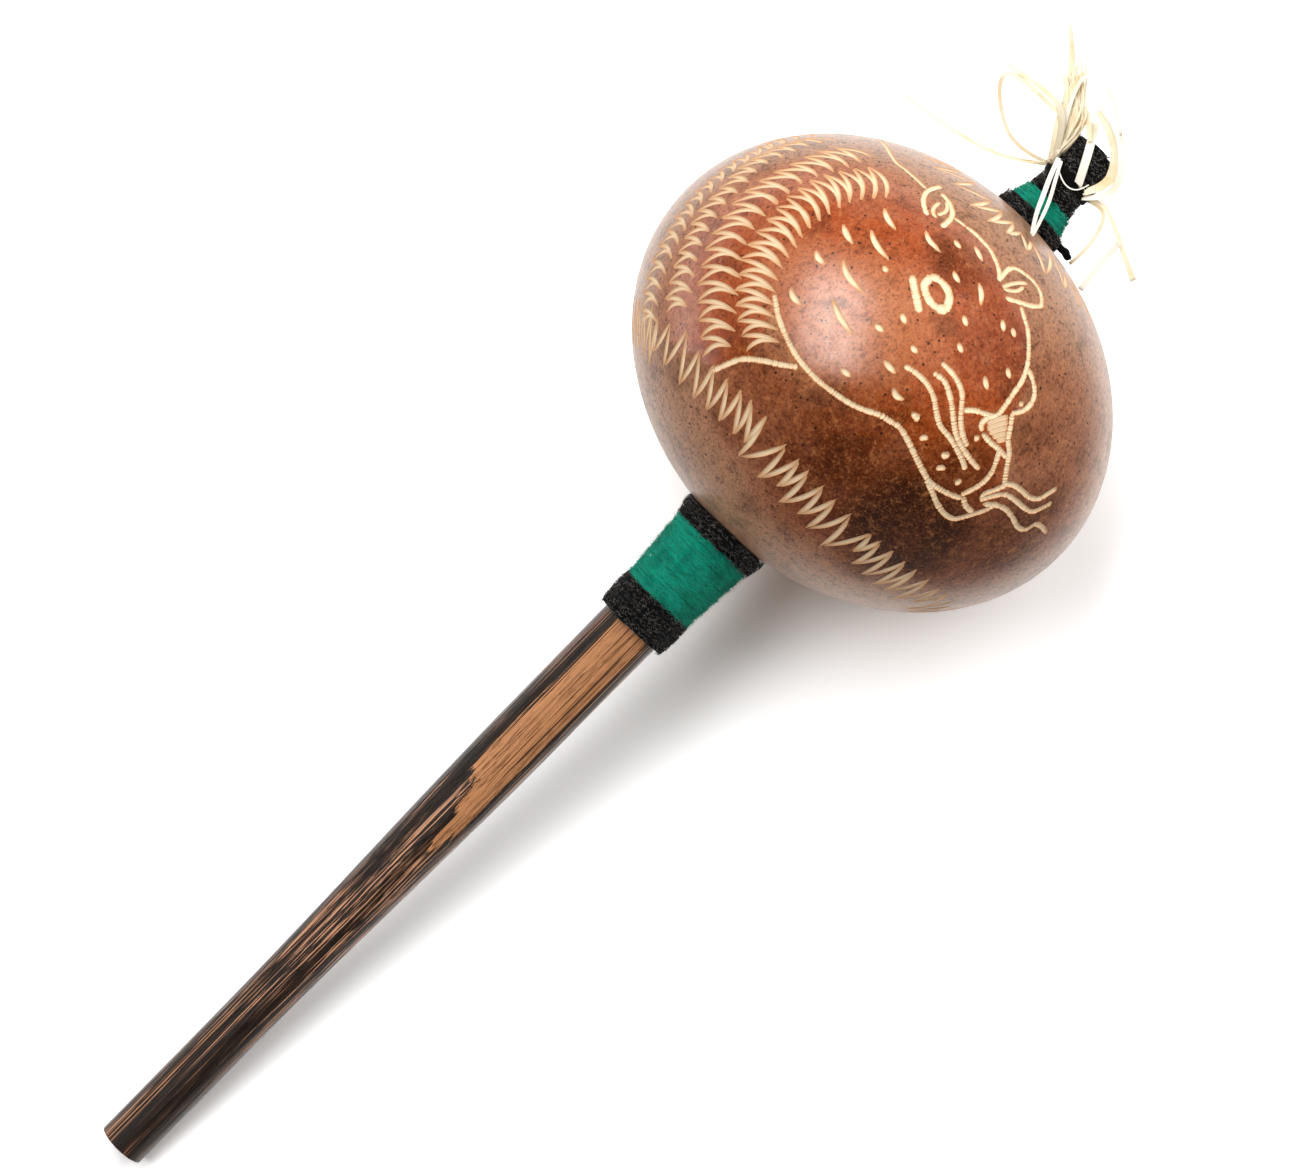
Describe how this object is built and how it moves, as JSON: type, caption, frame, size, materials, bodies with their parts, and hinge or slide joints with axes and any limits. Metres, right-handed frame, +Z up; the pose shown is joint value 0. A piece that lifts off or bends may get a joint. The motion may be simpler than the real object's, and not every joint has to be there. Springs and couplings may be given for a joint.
{
  "type": "gourd rattle",
  "caption": "Hand rattle made of a hollow carved gourd threaded on a palm-wood stick, bound with black and green yarn, with a raffia tassel at the tip and loose seeds inside.",
  "frame": {"origin": "middle of the small flat under the gourd that the rattle rests on", "axes": "+Z up from the table, +X along the stick from the handle to the tip"},
  "size_m": [0.3292, 0.12, 0.1186],
  "materials": {
    "gourd": "polished",
    "stick": "oiled",
    "packing": "matte",
    "black_yarn": "matte",
    "green_yarn": "matte",
    "raffia": "satin",
    "seed": "satin"
  },
  "bodies": {
    "rattle": {"gourd_shell": "gourd", "palm_stick": "stick", "lower_packing": "packing", "upper_packing": "packing", "knob_packing": "packing", "lower_black_yarn": "black_yarn", "green_yarn": "green_yarn", "neck_black_yarn": "black_yarn", "base_black_yarn": "black_yarn", "upper_green_yarn": "green_yarn", "upper_black_yarn": "black_yarn", "knob_black_yarn": "black_yarn", "raffia_tie": "raffia", "raffia_top_strand": "raffia", "raffia_second_strand": "raffia", "raffia_side_loop": "raffia", "raffia_long_fibre": "raffia", "raffia_arched_strand": "raffia", "raffia_hooked_strand": "raffia", "raffia_right_strand": "raffia", "raffia_drooping_strand": "raffia", "raffia_folded_strip": "raffia", "raffia_knob_strip": "raffia"},
    "seed_01": {"seed_01": "seed"},
    "seed_02": {"seed_02": "seed"},
    "seed_03": {"seed_03": "seed"},
    "seed_04": {"seed_04": "seed"},
    "seed_05": {"seed_05": "seed"},
    "seed_06": {"seed_06": "seed"},
    "seed_07": {"seed_07": "seed"},
    "seed_08": {"seed_08": "seed"},
    "seed_09": {"seed_09": "seed"},
    "seed_10": {"seed_10": "seed"}
  },
  "joints": [
    {"name": "seed_01_flight", "type": "slide", "parent": "rattle", "child": "seed_01", "axis": [0, 0, 1], "range_m": [0, 0.0448]},
    {"name": "seed_02_flight", "type": "slide", "parent": "rattle", "child": "seed_02", "axis": [0, 0, 1], "range_m": [0, 0.04415]},
    {"name": "seed_03_flight", "type": "slide", "parent": "rattle", "child": "seed_03", "axis": [0, 0, 1], "range_m": [0, 0.04668]},
    {"name": "seed_04_flight", "type": "slide", "parent": "rattle", "child": "seed_04", "axis": [0, 0, 1], "range_m": [0, 0.10052]},
    {"name": "seed_05_flight", "type": "slide", "parent": "rattle", "child": "seed_05", "axis": [0, 0, 1], "range_m": [0, 0.03945]},
    {"name": "seed_06_flight", "type": "slide", "parent": "rattle", "child": "seed_06", "axis": [0, 0, 1], "range_m": [0, 0.04636]},
    {"name": "seed_07_flight", "type": "slide", "parent": "rattle", "child": "seed_07", "axis": [0, 0, 1], "range_m": [0, 0.10144]},
    {"name": "seed_08_flight", "type": "slide", "parent": "rattle", "child": "seed_08", "axis": [0, 0, 1], "range_m": [0, 0.10135]},
    {"name": "seed_09_flight", "type": "slide", "parent": "rattle", "child": "seed_09", "axis": [0, 0, 1], "range_m": [0, 0.04721]},
    {"name": "seed_10_flight", "type": "slide", "parent": "rattle", "child": "seed_10", "axis": [0, 0, 1], "range_m": [0, 0.04011]}
  ]
}
